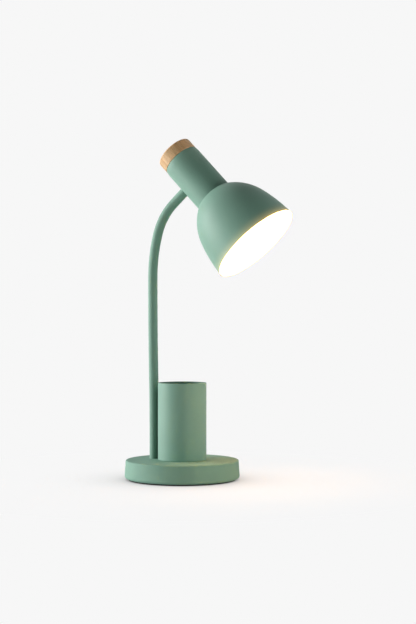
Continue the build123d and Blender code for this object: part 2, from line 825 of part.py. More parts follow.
with BuildPart() as holder_rod:
    with BuildSketch(head_section(holder_end - rod_grip)):
        Circle(rod_diameter / 2)
        Circle(rod_bore / 2, mode=Mode.SUBTRACT)
    extrude(amount=rod_grip + neck_back - holder_end + rod_nut_height + rod_overhang)

with BuildPart() as rod_nut:
    with BuildSketch(head_section(neck_back)):
        RegularPolygon(rod_nut_flats / 2, 6, major_radius=False)
        Circle(rod_diameter / 2 + thread_clearance, mode=Mode.SUBTRACT)
    extrude(amount=rod_nut_height)

lead_start = head_stud_end + lead_bend
lead_side = (rod_diameter + holder_rear_diameter) / 4

with BuildPart() as head_lead:
    with BuildLine(head_profile) as head_lead_route:
        FilletPolyline(
            (-lead_start, entry),
            (-lead_side, entry),
            (-lead_side, holder_end),
            radius=lead_bend,
        )
    with BuildSketch(Plane(head_lead_route.line @ 0, z_dir=head_lead_route.line % 0)):
        Circle(lead_radius)
    sweep(path=head_lead_route.line)


# Bulb: screw cap with rounded threads, contact tip, housing and globe
with BuildPart() as bulb_cap:
    with BuildSketch(head_section(bulb_cap_start)):
        Circle(bulb_cap_radius - bulb_thread_depth)
    extrude(amount=bulb_cap_length)
    for turn in range(bulb_thread_count):
        with Locations(head_section(bulb_cap_end - (turn + 1) * bulb_thread_pitch)):
            Torus(bulb_cap_radius - bulb_thread_depth, bulb_thread_depth)
    with BuildSketch(head_section(bulb_cap_start - overrun)):
        Circle(bulb_cap_radius - bulb_thread_depth - bulb_cap_wall)
    extrude(amount=bulb_cap_length - bulb_cap_wall + overrun, mode=Mode.SUBTRACT)

with BuildPart() as bulb_tip:
    with BuildSketch(head_profile):
        with BuildLine():
            Polyline(
                (0, bulb_cap_end),
                (bulb_tip_diameter / 2, bulb_cap_end),
                (bulb_tip_top_diameter / 2, bulb_tip_end),
                (0, bulb_tip_end),
                close=True,
            )
        make_face()
    revolve(axis=head_axis)

globe_radius = bulb_diameter / 2
globe_back = bulb_cap_start - bulb_waist_length - bulb_housing_length
globe_middle = globe_back - bulb_globe_cut
globe_edge = (globe_radius**2 - bulb_globe_cut**2) ** 0.5
globe_inner_radius = globe_radius - bulb_globe_wall
globe_inner_edge = (globe_inner_radius**2 - bulb_globe_cut**2) ** 0.5
bulb_neck_radius = bulb_cap_radius - bulb_thread_depth

with BuildPart() as bulb_housing:
    with BuildSketch(head_profile):
        with BuildLine():
            Polyline(
                (0, globe_back),
                (globe_edge, globe_back),
                (globe_edge, globe_back + bulb_collar_length),
                (bulb_waist_diameter / 2, bulb_cap_start - bulb_waist_length),
                (bulb_neck_radius, bulb_cap_start),
                (0, bulb_cap_start),
                close=True,
            )
        make_face()
    revolve(axis=head_axis)
    with BuildSketch(head_profile):
        with BuildLine():
            Polyline(
                (0, globe_back + bulb_housing_wall),
                (globe_edge - bulb_housing_wall, globe_back + bulb_housing_wall),
                (globe_edge - bulb_housing_wall, globe_back + bulb_collar_length),
                (bulb_neck_radius - bulb_housing_wall, bulb_cap_start - bulb_waist_length),
                (bulb_neck_radius - bulb_housing_wall, bulb_cap_start + overrun),
                (0, bulb_cap_start + overrun),
                close=True,
            )
        make_face()
    revolve(axis=head_axis, mode=Mode.SUBTRACT)

with BuildPart() as bulb_globe:
    with BuildSketch(head_profile):
        with BuildLine():
            ThreePointArc(
                (0, globe_middle - globe_radius),
                (globe_radius, globe_middle),
                (globe_edge, globe_back),
            )
            Line((globe_edge, globe_back), (globe_inner_edge, globe_back))
            ThreePointArc(
                (globe_inner_edge, globe_back),
                (globe_inner_radius, globe_middle),
                (0, globe_middle - globe_inner_radius),
            )
            Line((0, globe_middle - globe_inner_radius), (0, globe_middle - globe_radius))
        make_face()
    revolve(axis=head_axis)


# Every piece under its own name
pieces = {
    "base_cover": base_cover,
    "ballast_disc": ballast_disc,
    "bottom_plate": bottom_plate,
    "bottom_screws": bottom_screws,
    "base_pad": base_pad,
    "pen_cup": pen_cup,
    "cup_screw": cup_screw,
    "neck_nipple": neck_nipple,
    "neck_washer": neck_washer,
    "neck_nut": neck_nut,
    "lower_sleeve": lower_sleeve,
    "lower_hose": lower_hose,
    "cord_gland": cord_gland,
    "switch_housing": switch_housing,
    "switch_rocker": switch_rocker,
    "terminal_block": terminal_block,
    "base_leads": base_leads,
    "head_ferrule": head_ferrule,
    "head_saddle": head_saddle,
    "head_nut": head_nut,
    "neck_tube": neck_tube,
    "shade": shade,
    "wood_cap": wood_cap,
    "cap_screws": cap_screws,
    "holder_body": holder_body,
    "shade_ring": shade_ring,
    "holder_shell": holder_shell,
    "holder_contact": holder_contact,
    "holder_rod": holder_rod,
    "rod_nut": rod_nut,
    "head_lead": head_lead,
    "bulb_cap": bulb_cap,
    "bulb_tip": bulb_tip,
    "bulb_housing": bulb_housing,
    "bulb_globe": bulb_globe,
}
for number, (link_sleeve, link_hose) in enumerate(zip(link_sleeves, link_hoses), start=1):
    pieces[f"link_sleeve_{number:02d}"] = link_sleeve
    pieces[f"link_hose_{number:02d}"] = link_hose

for name, piece in pieces.items():
    piece.part.label = name
    export_step(piece.part, f"parts/{name}.step")
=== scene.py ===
import json
import math

import bpy
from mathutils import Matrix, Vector, noise


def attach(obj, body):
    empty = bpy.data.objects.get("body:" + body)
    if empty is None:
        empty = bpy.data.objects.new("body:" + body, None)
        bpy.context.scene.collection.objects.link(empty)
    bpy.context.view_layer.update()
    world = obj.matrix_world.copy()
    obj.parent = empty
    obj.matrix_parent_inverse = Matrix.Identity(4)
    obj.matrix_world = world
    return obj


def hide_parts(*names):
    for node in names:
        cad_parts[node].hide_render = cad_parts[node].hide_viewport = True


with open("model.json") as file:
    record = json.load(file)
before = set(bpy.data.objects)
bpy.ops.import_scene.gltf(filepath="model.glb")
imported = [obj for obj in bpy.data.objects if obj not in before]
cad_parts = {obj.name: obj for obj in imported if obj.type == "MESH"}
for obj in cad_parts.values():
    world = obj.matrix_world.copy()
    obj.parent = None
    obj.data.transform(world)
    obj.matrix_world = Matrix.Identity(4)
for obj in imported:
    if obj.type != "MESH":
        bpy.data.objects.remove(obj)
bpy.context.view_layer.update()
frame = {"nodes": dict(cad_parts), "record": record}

scene = bpy.context.scene
nodes = frame["nodes"]
MM = 0.001
ACROSS = Vector((0, 1, 0))
WHITE = (1, 1, 1)

# Sizes repeated from the solids, in millimetres and degrees: the base and the cup, the neck, the head
BASE_TOP = 29.0
CUP_HEIGHT = 113.5
NECK_X = -46.0
SLEEVE_RADIUS = 7.0
SLEEVE_BORE = 5.5
NIPPLE_LENGTH = 15.0
BEND_RADIUS, BEND_TURN = 254.0, 14.9
CROOK_RADIUS, CROOK_TURN = 93.3, 31.7
FERRULE_LENGTH = 24.4
NECK_RADIUS = 28.6
NECK_ENTRY = 39.9
SHADE_LENGTH = 95.6
SHADE_MOUTH = 68.3
SHADE_WALL = 0.8
SHADE_HOLE = 20.0
FLARE_LENGTH, FLARE_SLOPE = 17.0, 6.5
FLANK_RADIUS, FLANK_SLOPE = 219.4, 16.1
SHOULDER = 0.3

# Zones of the neck's route, from the nipple up: (length, turn, number of links)
ROUTE = [
    (105.0, -1.1, 1),
    (148.6, 1.1, 7),
    (BEND_RADIUS * math.radians(BEND_TURN), BEND_TURN, 3),
    (CROOK_RADIUS * math.radians(CROOK_TURN), CROOK_TURN, 2),
]


def heading_vector(heading):
    """The hose's direction in the XZ plane, its heading measured from +Z towards +X."""
    return Vector((math.sin(math.radians(heading)), 0, math.cos(math.radians(heading))))


def side_vector(heading):
    """The direction square to the hose in the XZ plane, on the side that a positive turn bends to."""
    return Vector((math.cos(math.radians(heading)), 0, -math.sin(math.radians(heading))))


class Stretch:
    """One length of hose on a circular arc, in millimetres, at an offset from the neck's foot."""

    def __init__(self, start, heading, length, turn, offset):
        self.start, self.heading, self.length, self.turn = start, heading, length, turn
        self.offset = offset
        self.radius = length / math.radians(turn)
        self.centre = start + side_vector(heading) * self.radius

    def at(self, share):
        """The point and heading at a share of the length."""
        heading = self.heading + self.turn * share
        return self.centre - side_vector(heading) * self.radius, heading


neck_foot = Vector((NECK_X, 0, BASE_TOP))
stretches = []
hose_end, hose_heading = Vector((NECK_X, 0, BASE_TOP + NIPPLE_LENGTH)), 0.0
travelled = NIPPLE_LENGTH
for zone_length, zone_turn, zone_links in ROUTE:
    length, turn = zone_length / zone_links, zone_turn / zone_links
    for _ in range(zone_links):
        stretches.append(Stretch(hose_end, hose_heading, length, turn, travelled))
        hose_end, hose_heading = stretches[-1].at(1.0)
        travelled += length

# The head's axis stands square to the hose's end; head_direction points from the mouth to the cap
hose_direction = heading_vector(hose_heading)
head_direction = -side_vector(hose_heading)
neck_centre = hose_end + hose_direction * (FERRULE_LENGTH + NECK_RADIUS)
mouth_centre = neck_centre - head_direction * (SHADE_LENGTH + NECK_ENTRY)


# Materials
MIX_FACTOR, MIX_A, MIX_B, MIX_RESULT = 0, 6, 7, 2  # the colour sockets of a Mix node


class Shader:
    """A material with one Principled shader, and short ways to add the nodes that feed it."""

    def __init__(self, name, **values):
        self.material = bpy.data.materials.new(name)
        self.material.use_nodes = True
        self.tree = self.material.node_tree
        self.main = self.tree.nodes["Principled BSDF"]
        for key, value in values.items():
            self.main.inputs[key.replace("_", " ")].default_value = value

    def add(self, kind, **settings):
        node = self.tree.nodes.new(kind)
        for key, value in settings.items():
            setattr(node, key, value)
        return node

    def link(self, out, socket):
        self.tree.links.new(out, socket)

    def place(self, scale=(1, 1, 1), turn=(0, 0, 0), shift=(0, 0, 0)):
        """Object coordinates, in metres, shifted, turned and then scaled."""
        vector = self.add("ShaderNodeTexCoord").outputs["Object"]
        for key, value in (("Location", shift), ("Rotation", turn), ("Scale", scale)):
            step = self.add("ShaderNodeMapping", vector_type="POINT")
            step.inputs[key].default_value = value
            self.link(vector, step.inputs["Vector"])
            vector = step.outputs["Vector"]
        return vector

    def noise(self, vector, scale, detail=3.0, rough=0.5):
        node = self.add("ShaderNodeTexNoise")
        for key, value in (("Scale", scale), ("Detail", detail), ("Roughness", rough)):
            node.inputs[key].default_value = value
        self.link(vector, node.inputs["Vector"])
        return node.outputs["Fac"]

    def ramp(self, fac, span, tones):
        """A colour ramp from the first tone to the second over a span; a tone is a grey or an (r, g, b)."""
        node = self.add("ShaderNodeValToRGB")
        for element, place, tone in zip(node.color_ramp.elements, span, tones):
            element.position = place
            element.color = (*(tone if isinstance(tone, tuple) else (tone,) * 3), 1)
        self.link(fac, node.inputs["Fac"])
        return node.outputs["Color"]

    def range(self, fac, span, values):
        """A number that goes from the first value to the second over a span."""
        node = self.add("ShaderNodeMapRange")
        for key, value in zip(("From Min", "From Max", "To Min", "To Max"), (*span, *values)):
            node.inputs[key].default_value = value
        self.link(fac, node.inputs["Value"])
        return node.outputs["Result"]

    def multiply(self, a, b):
        """Multiplies two colours, or a colour and a grey level."""
        node = self.add("ShaderNodeMix", data_type="RGBA", blend_type="MULTIPLY")
        node.inputs[MIX_FACTOR].default_value = 1.0
        self.link(a, node.inputs[MIX_A])
        self.link(b, node.inputs[MIX_B])
        return node.outputs[MIX_RESULT]

    def math(self, operation, a, b):
        """The result of an operation on two numbers, each a socket or a value."""
        node = self.add("ShaderNodeMath", operation=operation)
        for socket, value in zip(node.inputs, (a, b)):
            if isinstance(value, bpy.types.NodeSocket):
                self.link(value, socket)
            else:
                socket.default_value = value
        return node.outputs["Value"]

    def colour(self, out):
        self.link(out, self.main.inputs["Base Color"])

    def rough(self, out):
        self.link(out, self.main.inputs["Roughness"])

    def bump(self, height, distance):
        node = self.add("ShaderNodeBump")
        node.inputs["Strength"].default_value = 1.0
        node.inputs["Distance"].default_value = distance
        self.link(height, node.inputs["Height"])
        self.link(node.outputs["Normal"], self.main.inputs["Normal"])

    def glow(self, colour):
        """Sets the colour of the emission, and returns the socket of its strength."""
        self.main.inputs["Emission Color"].default_value = (*colour, 1)
        return self.main.inputs["Emission Strength"]


# Spans of a noise that its ramps use, and the tones and roughness that they give; scales are per metre
NEAR_SPAN, MID_SPAN, WIDE_SPAN = (0.35, 0.65), (0.3, 0.7), (0.25, 0.75)
SKIN_ROUGH = 0.6
CLOUD_SCALE, CLOUD_TONES = 22.0, (0.965, 1.03)
SPECK_SCALE, SPECK_TONES = 2600.0, (0.93, 1.0)
GLOSS_SCALE, GLOSS_CHANGE = 900.0, (-0.06, 0.07)
PEEL_SCALE = 850.0
MOULD_SCALE, MOULD_TONES, MOULD_CHANGE = 60.0, (0.9, 1.1), (-0.08, 0.1)
LINE_TONES, LINE_CHANGE, LINE_DEPTH = (0.82, 1.08), (-0.1, 0.12), 0.00002


def shaded(colour, by):
    """A colour made lighter or darker by a factor."""
    return tuple(min(1.0, c * by) for c in colour)


def tones(colour, factors):
    """A colour at each of some factors."""
    return [shaded(colour, factor) for factor in factors]


def around(level, changes):
    """A level with each of some changes added."""
    return [level + change for change in changes]


def coated(name, colour, roughness, sheen=0.30, peel=0.00006):
    """Powder coat: a faint cloud in its tone, fine speckle and an orange-peel skin."""
    s = Shader(name, Specular_IOR_Level=sheen)
    here = s.place()
    cloud = s.ramp(s.noise(here, CLOUD_SCALE, detail=2.0), MID_SPAN, tones(colour, CLOUD_TONES))
    speck = s.ramp(s.noise(here, SPECK_SCALE, detail=2.0), NEAR_SPAN, SPECK_TONES)
    s.colour(s.multiply(cloud, speck))
    s.rough(s.range(s.noise(here, GLOSS_SCALE), MID_SPAN, around(roughness, GLOSS_CHANGE)))
    s.bump(s.noise(here, PEEL_SCALE, rough=SKIN_ROUGH), peel)
    return s


def moulded(name, colour, roughness, grain=1500.0, depth=0.00005):
    """Moulded plastic with a fine spark-eroded grain."""
    s = Shader(name)
    here = s.place()
    s.colour(s.ramp(s.noise(here, MOULD_SCALE), MID_SPAN, tones(colour, MOULD_TONES)))
    s.rough(s.range(s.noise(here, grain, detail=2.0), MID_SPAN, around(roughness, MOULD_CHANGE)))
    s.bump(s.noise(here, grain, detail=2.0, rough=SKIN_ROUGH), depth)
    return s


def metal(name, colour, roughness, stretch=(1, 1, 8), scale=900.0):
    """Bare or plated metal with fine drawn lines."""
    s = Shader(name, Metallic=1.0)
    lines = s.noise(s.place(stretch), scale, detail=4.0, rough=SKIN_ROUGH)
    s.colour(s.ramp(lines, WIDE_SPAN, tones(colour, LINE_TONES)))
    s.rough(s.range(lines, WIDE_SPAN, around(roughness, LINE_CHANGE)))
    s.bump(lines, LINE_DEPTH)
    return s


GREEN = (0.252, 0.445, 0.348)
SILICONE_TONE = 0.93
COAT_ROUGHNESS = 0.50
green_paint = coated("green_powder_coat", GREEN, COAT_ROUGHNESS)
base_paint = coated("green_base_coat", GREEN, roughness=0.62, sheen=0.18)
green_silicone = coated("green_silicone_sleeve", shaded(GREEN, SILICONE_TONE), roughness=0.62, peel=0.00003)
white_paint = coated("white_shade_lining", (0.86, 0.84, 0.79), COAT_ROUGHNESS)
black_foam = moulded("black_foam", (0.018, 0.018, 0.017), roughness=0.85, grain=2200.0, depth=0.0002)
black_plastic = moulded("black_plastic", (0.022, 0.022, 0.023), roughness=0.48)
cream_plastic = moulded("cream_plastic", (0.78, 0.74, 0.66), roughness=0.42, grain=1100.0)
lead_pvc = moulded("lead_pvc", (0.05, 0.05, 0.052), roughness=0.35, grain=700.0, depth=0.00003)
zinc_steel = metal("zinc_steel", (0.6, 0.6, 0.57), roughness=0.34)
steel_hose = metal("hose_steel", (0.52, 0.52, 0.51), roughness=0.3)
ballast_iron = metal("cast_iron", (0.16, 0.155, 0.15), roughness=0.62, stretch=(1, 1, 1), scale=350.0)
contact_brass = metal("contact_brass", (0.78, 0.58, 0.27), roughness=0.28)
bulb_nickel = metal("bulb_nickel", (0.74, 0.72, 0.69), roughness=0.26)
bulb_white = moulded("bulb_white", (0.86, 0.86, 0.84), roughness=0.32, grain=500.0, depth=0.00002)

# Sleeve with painted shade: darker below the cup's rim on the side that faces the cup, where the narrow gap
# is shaded
PAINTED_SHADE_FADE, PAINTED_SHADE_DARK = 16.0, 0.74
from_rim = green_silicone.place(shift=(-NECK_X * MM, 0, -(BASE_TOP + CUP_HEIGHT) * MM))
painted_shade_xyz = green_silicone.add("ShaderNodeSeparateXYZ")
green_silicone.link(from_rim, painted_shade_xyz.inputs[0])
facing = green_silicone.range(painted_shade_xyz.outputs["X"], (0.0, SLEEVE_RADIUS * MM), (0.0, PAINTED_SHADE_DARK))
sunk = green_silicone.range(painted_shade_xyz.outputs["Z"], (-PAINTED_SHADE_FADE * MM, 0.0), (1.0, 0.0))
# Painted shade: 1 on the open sleeve, lower on its side towards the cup below the rim
painted_shade_factor = green_silicone.math("SUBTRACT", 1.0, green_silicone.math("MULTIPLY", facing, sunk))
unshaded_tone = green_silicone.main.inputs["Base Color"].links[0].from_socket
green_silicone.colour(green_silicone.multiply(unshaded_tone, painted_shade_factor))

# Paint of the shade: the same coat, with a painted glow, an emission on the paint that fades behind the lip,
# for the lamp's light creeping round the lip
GLOW_COLOUR = (1.0, 0.65, 0.18)
GLOW_REACH, GLOW_POWER, GLOW_STRENGTH = 0.022, 4.0, 0.40
shade_paint = coated("green_shade_coat", GREEN, COAT_ROUGHNESS)
behind_mouth = shade_paint.add("ShaderNodeVectorMath", operation="DOT_PRODUCT")
behind_mouth.inputs[1].default_value = head_direction
shade_paint.link(shade_paint.place(shift=-mouth_centre * MM), behind_mouth.inputs[0])
painted_glow_fall = shade_paint.range(behind_mouth.outputs["Value"], (0.0, GLOW_REACH), (1.0, 0.0))
painted_glow_curve = shade_paint.math("POWER", painted_glow_fall, GLOW_POWER)
painted_glow_level = shade_paint.math("MULTIPLY", painted_glow_curve, GLOW_STRENGTH)
# The painted glow drives the emission of the shade's outer paint
shade_paint.link(painted_glow_level, shade_paint.glow(GLOW_COLOUR))

# Opal globe, lit
LAMP_COLOUR, LAMP_STRENGTH = (1.0, 0.52, 0.19), 148.0
bulb_opal = moulded("bulb_opal", (0.9, 0.88, 0.82), roughness=0.4, grain=700.0, depth=0.00002)
bulb_opal.glow(LAMP_COLOUR).default_value = LAMP_STRENGTH

# Beech with its fibres along the head's axis: coordinates are shrunk along the grain, which draws it out
BEECH_LIGHT, BEECH_DARK = (0.83, 0.55, 0.28), (0.69, 0.405, 0.185)
BEECH_ROUGHNESS, FIBRE_DEPTH = (0.62, 0.5), 0.00006
FIBRE_DRAW, YEAR_DRAW, FLECK_DRAW = (1, 1, 0.045), (1, 0.25, 0.06), (1, 1, 0.22)
YEAR_SPAN = (0.3, 0.62)
FIBRE_SPAN, FIBRE_TONES = (0.3, 0.6), (0.74, 1.0)
FLECK_SPAN, FLECK_TONES = (0.62, 0.72), (1.0, 0.72)
head_turn = (0, math.radians(90.0 - hose_heading), 0)
beech = Shader("beech")
fibres = beech.noise(beech.place(FIBRE_DRAW, head_turn), scale=1500.0, detail=5.0, rough=0.65)
years = beech.noise(beech.place(YEAR_DRAW, head_turn), scale=240.0)
flecks = beech.noise(beech.place(FLECK_DRAW, head_turn), scale=1050.0, detail=1.0)
year_tone = beech.ramp(years, YEAR_SPAN, (BEECH_DARK, BEECH_LIGHT))
fibre_tone = beech.ramp(fibres, FIBRE_SPAN, FIBRE_TONES)
fleck_tone = beech.ramp(flecks, FLECK_SPAN, FLECK_TONES)
beech.colour(beech.multiply(beech.multiply(year_tone, fibre_tone), fleck_tone))
beech.rough(beech.range(fibres, MID_SPAN, BEECH_ROUGHNESS))
beech.bump(fibres, FIBRE_DEPTH)

SLOT_SHADERS = {
    "green_paint": green_paint,
    "green_silicone": green_silicone,
    "beech": beech,
    "black_foam": black_foam,
    "black_plastic": black_plastic,
    "cream_plastic": cream_plastic,
    "zinc_steel": zinc_steel,
    "steel_hose": steel_hose,
    "ballast_iron": ballast_iron,
    "contact_brass": contact_brass,
    "bulb_nickel": bulb_nickel,
    "bulb_white": bulb_white,
    "bulb_opal": bulb_opal,
    "lead_pvc": lead_pvc,
}
for entry in frame["record"]["subparts"]:
    shader = base_paint if entry["node"] == "base_cover" else SLOT_SHADERS[entry["material_slot"]]
    for material_slot in nodes[entry["node"]].material_slots:
        material_slot.material = shader.material


# Meshes
def around_circle(segments):
    """The angles of a circle's points."""
    return [2 * math.pi * k / segments for k in range(segments)]


def new_piece(name, points, faces, shaders, face_slots=None, sharp=40.0):
    """A smooth-shaded mesh object from points in millimetres, sharp at edges over an angle in degrees."""
    mesh = bpy.data.meshes.new(name)
    mesh.from_pydata([Vector(p) * MM for p in points], [], faces)
    for shader in shaders:
        mesh.materials.append(shader.material)
    if face_slots:
        mesh.polygons.foreach_set("material_index", face_slots)
    mesh.polygons.foreach_set("use_smooth", [True] * len(mesh.polygons))
    mesh.set_sharp_from_angle(angle=math.radians(sharp))
    mesh.update()
    piece = bpy.data.objects.new(name, mesh)
    scene.collection.objects.link(piece)
    return piece


def lathe(name, outline, shaders, slots, segments=160, sharp=50.0):
    """Turns a closed outline of (radius, distance behind the mouth) about the head's axis."""
    points, faces, face_slots = [], [], []
    count = len(outline)
    for angle in around_circle(segments):
        outward = hose_direction * math.cos(angle) + ACROSS * math.sin(angle)
        for radius, distance in outline:
            points.append(mouth_centre + outward * radius + head_direction * distance)
    for k in range(segments):
        after = (k + 1) % segments
        for i in range(count):
            j = (i + 1) % count
            faces.append((k * count + i, after * count + i, after * count + j, k * count + j))
            face_slots.append(slots[i])
    return new_piece(name, points, faces, shaders, face_slots, sharp)


def tube(name, rings, shader, segments=48):
    """A closed tube through rings of (point, heading, radius), up its outside and back down its inside."""
    points, faces = [], []
    count = len(rings)
    for centre, heading, radius in rings:
        side = side_vector(heading)
        for angle in around_circle(segments):
            reach = radius(angle) if callable(radius) else radius
            points.append(centre + (side * math.cos(angle) + ACROSS * math.sin(angle)) * reach)
    for i in range(count):
        j = (i + 1) % count
        for k in range(segments):
            after = (k + 1) % segments
            faces.append((i * segments + k, i * segments + after, j * segments + after, j * segments + k))
    return new_piece(name, points, faces, [shader])


# Neck sleeve, one length a link, in millimetres and degrees. Each length but the first starts in a rounded
# nose below its joint, which turns in the socketed end of the length before it.
RING_STEP, BORE_STEP, ARC_STEPS = 1.5, 4.0, 6
WOBBLE, WOBBLE_LENGTH, WOBBLE_ROUND, NOISE_PEAK = 0.10, 26.0, 0.5, 0.5
COIL_RISE, COIL_PITCH = 0.035, 3.2
CALM = 4.0
LIP_SETBACK = 1.15
NOSE_ANGLE, NOSE_BORE = 21.5, 6.1
SOCKET_ANGLE, SOCKET_GAP = 32.5, 0.03
SOCKET_RADIUS = SLEEVE_RADIUS + SOCKET_GAP


def sleeve_radius(distance, calm):
    """The sleeve's radius round one ring: the silicone lies a little unevenly on the hose's coils."""

    def reach(angle):
        place = Vector(
            (math.cos(angle) * WOBBLE_ROUND, math.sin(angle) * WOBBLE_ROUND, distance / WOBBLE_LENGTH)
        )
        wobble = WOBBLE * (noise.noise(place) - NOISE_PEAK)
        coil = COIL_RISE * (math.cos(2 * math.pi * distance / COIL_PITCH + angle) - 1)
        return SLEEVE_RADIUS + calm * (wobble + coil)

    return reach


def outside_rings(stretch, high):
    """Rings up the outside of a length to a share of it, calmer towards both ends."""
    rings = []
    steps = round(stretch.length * high / RING_STEP)
    for step in range(steps + 1):
        share = high * step / steps
        calm = min(1.0, min(share, high - share) * stretch.length / CALM)
        radius = sleeve_radius(stretch.offset + stretch.length * share, calm)
        rings.append((*stretch.at(share), radius))
    return rings


def bore_rings(stretch, high):
    """Rings down the bore of a length, from a share of it to its start."""
    steps = max(2, round(stretch.length / BORE_STEP))
    return [(*stretch.at(high * (1 - step / steps)), SLEEVE_BORE) for step in range(steps + 1)]


def ball_ring(joint, heading, radius, angle):
    """A ring on a ball about a joint, at an angle, in radians, below its middle."""
    return joint - heading_vector(heading) * (radius * math.sin(angle)), heading, radius * math.cos(angle)


def nose_rings(stretch):
    """Rings up the rounded nose below the start of a length."""
    angles = [math.radians(NOSE_ANGLE * (1 - step / ARC_STEPS)) for step in range(ARC_STEPS)]
    return [ball_ring(stretch.start, stretch.heading, SLEEVE_RADIUS, angle) for angle in angles]


def socket_rings(stretch):
    """Rings down the round socket in the end of a length, to the edge of its bore."""
    lip = math.asin(LIP_SETBACK / SOCKET_RADIUS)
    angles = [lip + (math.radians(SOCKET_ANGLE) - lip) * step / ARC_STEPS for step in range(ARC_STEPS + 1)]
    rings = [ball_ring(*stretch.at(1.0), SOCKET_RADIUS, angle) for angle in angles]
    floor_centre, heading, _ = rings[-1]
    return rings + [(floor_centre, heading, SLEEVE_BORE)]


def sleeve_rings(stretch):
    """All the rings of one length, up its outside and down its inside."""
    if stretch is stretches[-1]:
        rings = outside_rings(stretch, 1.0) + bore_rings(stretch, 1.0)
    else:
        lip_share = 1 - LIP_SETBACK / stretch.length
        socket_share = 1 - SOCKET_RADIUS * math.sin(math.radians(SOCKET_ANGLE)) / stretch.length
        rings = outside_rings(stretch, lip_share) + socket_rings(stretch)
        rings += bore_rings(stretch, socket_share)[1:]
    if stretch is stretches[0]:
        return [(neck_foot, 0.0, SLEEVE_RADIUS)] + rings + [(neck_foot, 0.0, SLEEVE_BORE)]
    nose = nose_rings(stretch)
    return nose + rings[:-1] + [(nose[0][0], stretch.heading, NOSE_BORE)]


bodies = ["base"] + [f"neck_link_{k:02d}" for k in range(1, len(stretches) - 1)] + ["head"]
for number, (stretch, body) in enumerate(zip(stretches, bodies)):
    piece = tube(f"neck_sleeve_{number:02d}", sleeve_rings(stretch), green_silicone)
    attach(piece, body)
    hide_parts(f"link_sleeve_{number:02d}" if number else "lower_sleeve")


# Shade: its outline in (radius, distance behind the mouth) has a straight flare, a flank and a shoulder
FLARE_STEPS, FLANK_STEPS, SHOULDER_STEPS, LIP_STEPS = 6, 18, 26, 8
LIP = SHADE_WALL / 2


def slope_normal(slope):
    """The outline's outward normal where it leans in by a slope, in degrees."""
    return Vector((math.cos(math.radians(slope)), math.sin(math.radians(slope))))


mouth_edge = Vector((SHADE_MOUTH, 0))
flare_normal = slope_normal(FLARE_SLOPE)
flare_direction = Vector((-flare_normal.y, flare_normal.x))
flank_centre = mouth_edge + flare_direction * FLARE_LENGTH - flare_normal * FLANK_RADIUS
flank_end = flank_centre + slope_normal(FLANK_SLOPE) * FLANK_RADIUS
span = Vector((NECK_RADIUS + SHOULDER, SHADE_LENGTH)) - flank_end
shoulder_radius = -span.dot(span) / (2 * span.dot(slope_normal(FLANK_SLOPE)))
shoulder_centre = flank_end - slope_normal(FLANK_SLOPE) * shoulder_radius


def shade_curve(inset, top):
    """Points up the shade's skin, set in from its outside, from the rounding of its lip to its top."""
    skin = []
    for k in range(FLARE_STEPS):
        along = LIP + (FLARE_LENGTH - LIP) * k / FLARE_STEPS
        skin.append(mouth_edge + flare_direction * along - flare_normal * inset)
    for k in range(FLANK_STEPS):
        slope = FLARE_SLOPE + (FLANK_SLOPE - FLARE_SLOPE) * k / FLANK_STEPS
        skin.append(flank_centre + slope_normal(slope) * (FLANK_RADIUS - inset))
    reach = shoulder_radius - inset
    top_slope = math.degrees(math.asin((top - shoulder_centre.y) / reach))
    for k in range(SHOULDER_STEPS + 1):
        slope = FLANK_SLOPE + (top_slope - FLANK_SLOPE) * k / SHOULDER_STEPS
        skin.append(shoulder_centre + slope_normal(slope) * reach)
    return [(p.x, p.y) for p in skin]


lip_middle = mouth_edge - flare_normal * LIP + Vector((0, LIP))
lip_points = []
for k in range(1, LIP_STEPS):
    p = lip_middle + slope_normal(FLARE_SLOPE - 180.0 * k / LIP_STEPS) * LIP
    lip_points.append((p.x, p.y))
outside = shade_curve(0.0, SHADE_LENGTH)
inside = shade_curve(SHADE_WALL, SHADE_LENGTH - SHADE_WALL)
hole = [(SHADE_HOLE, SHADE_LENGTH), (SHADE_HOLE, SHADE_LENGTH - SHADE_WALL)]
outline = outside + hole + inside[::-1] + lip_points[::-1]
slots = [0] * len(outside) + [1] * (len(outline) - len(outside))
shade = lathe("shade_shell", outline, [shade_paint, white_paint], slots)
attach(shade, "head")
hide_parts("shade")

# Floor and world, in metres: near the object the floor is lit and shaded, with a painted contact shadow from
# ambient occlusion in its glow; farther out it fades to white
FLOOR_HALF = 6.0
FLOOR_DIFFUSE, FLOOR_GLOW, FLOOR_BOUNCE = 0.16, 0.85, 0.8
CONTACT_REACH, PAINTED_SHADOW_DARK, CONTACT_SAMPLES = 0.14, 0.8, 32
FADE_START, FADE_END = 0.12, 0.42
BACKGROUND = 0.93
AMBIENT_COLOUR, AMBIENT = (0.85, 1.0, 0.95), 0.03


def grey(level):
    """An opaque grey, from 0 for black to 1 for white."""
    return (level, level, level, 1)


class Stage:
    """Short ways to add and link the nodes of the floor's or the world's tree."""

    def __init__(self, tree):
        self.tree = tree
        tree.nodes.clear()

    def add(self, kind, *inputs, **settings):
        """The first output of a new node whose inputs, in their order, are linked from sockets or set."""
        node = self.tree.nodes.new(kind)
        for key, value in settings.items():
            setattr(node, key, value)
        for socket, value in zip(node.inputs, inputs):
            if isinstance(value, bpy.types.NodeSocket):
                self.tree.links.new(value, socket)
            else:
                socket.default_value = value
        return node.outputs[0] if node.outputs else None

    def shown(self):
        """1 on rays from the camera and on what it sees by reflection or through glass, else 0."""
        path = self.tree.nodes.new("ShaderNodeLightPath").outputs
        direct = self.add("ShaderNodeMath", path["Is Camera Ray"], path["Is Glossy Ray"], operation="MAXIMUM")
        return self.add("ShaderNodeMath", direct, path["Is Transmission Ray"], operation="MAXIMUM")


corners = [(-1, -1), (1, -1), (1, 1), (-1, 1)]
floor = bpy.data.objects.new("floor", bpy.data.meshes.new("floor"))
floor.data.from_pydata([(x * FLOOR_HALF, y * FLOOR_HALF, 0) for x, y in corners], [], [(0, 1, 2, 3)])
scene.collection.objects.link(floor)

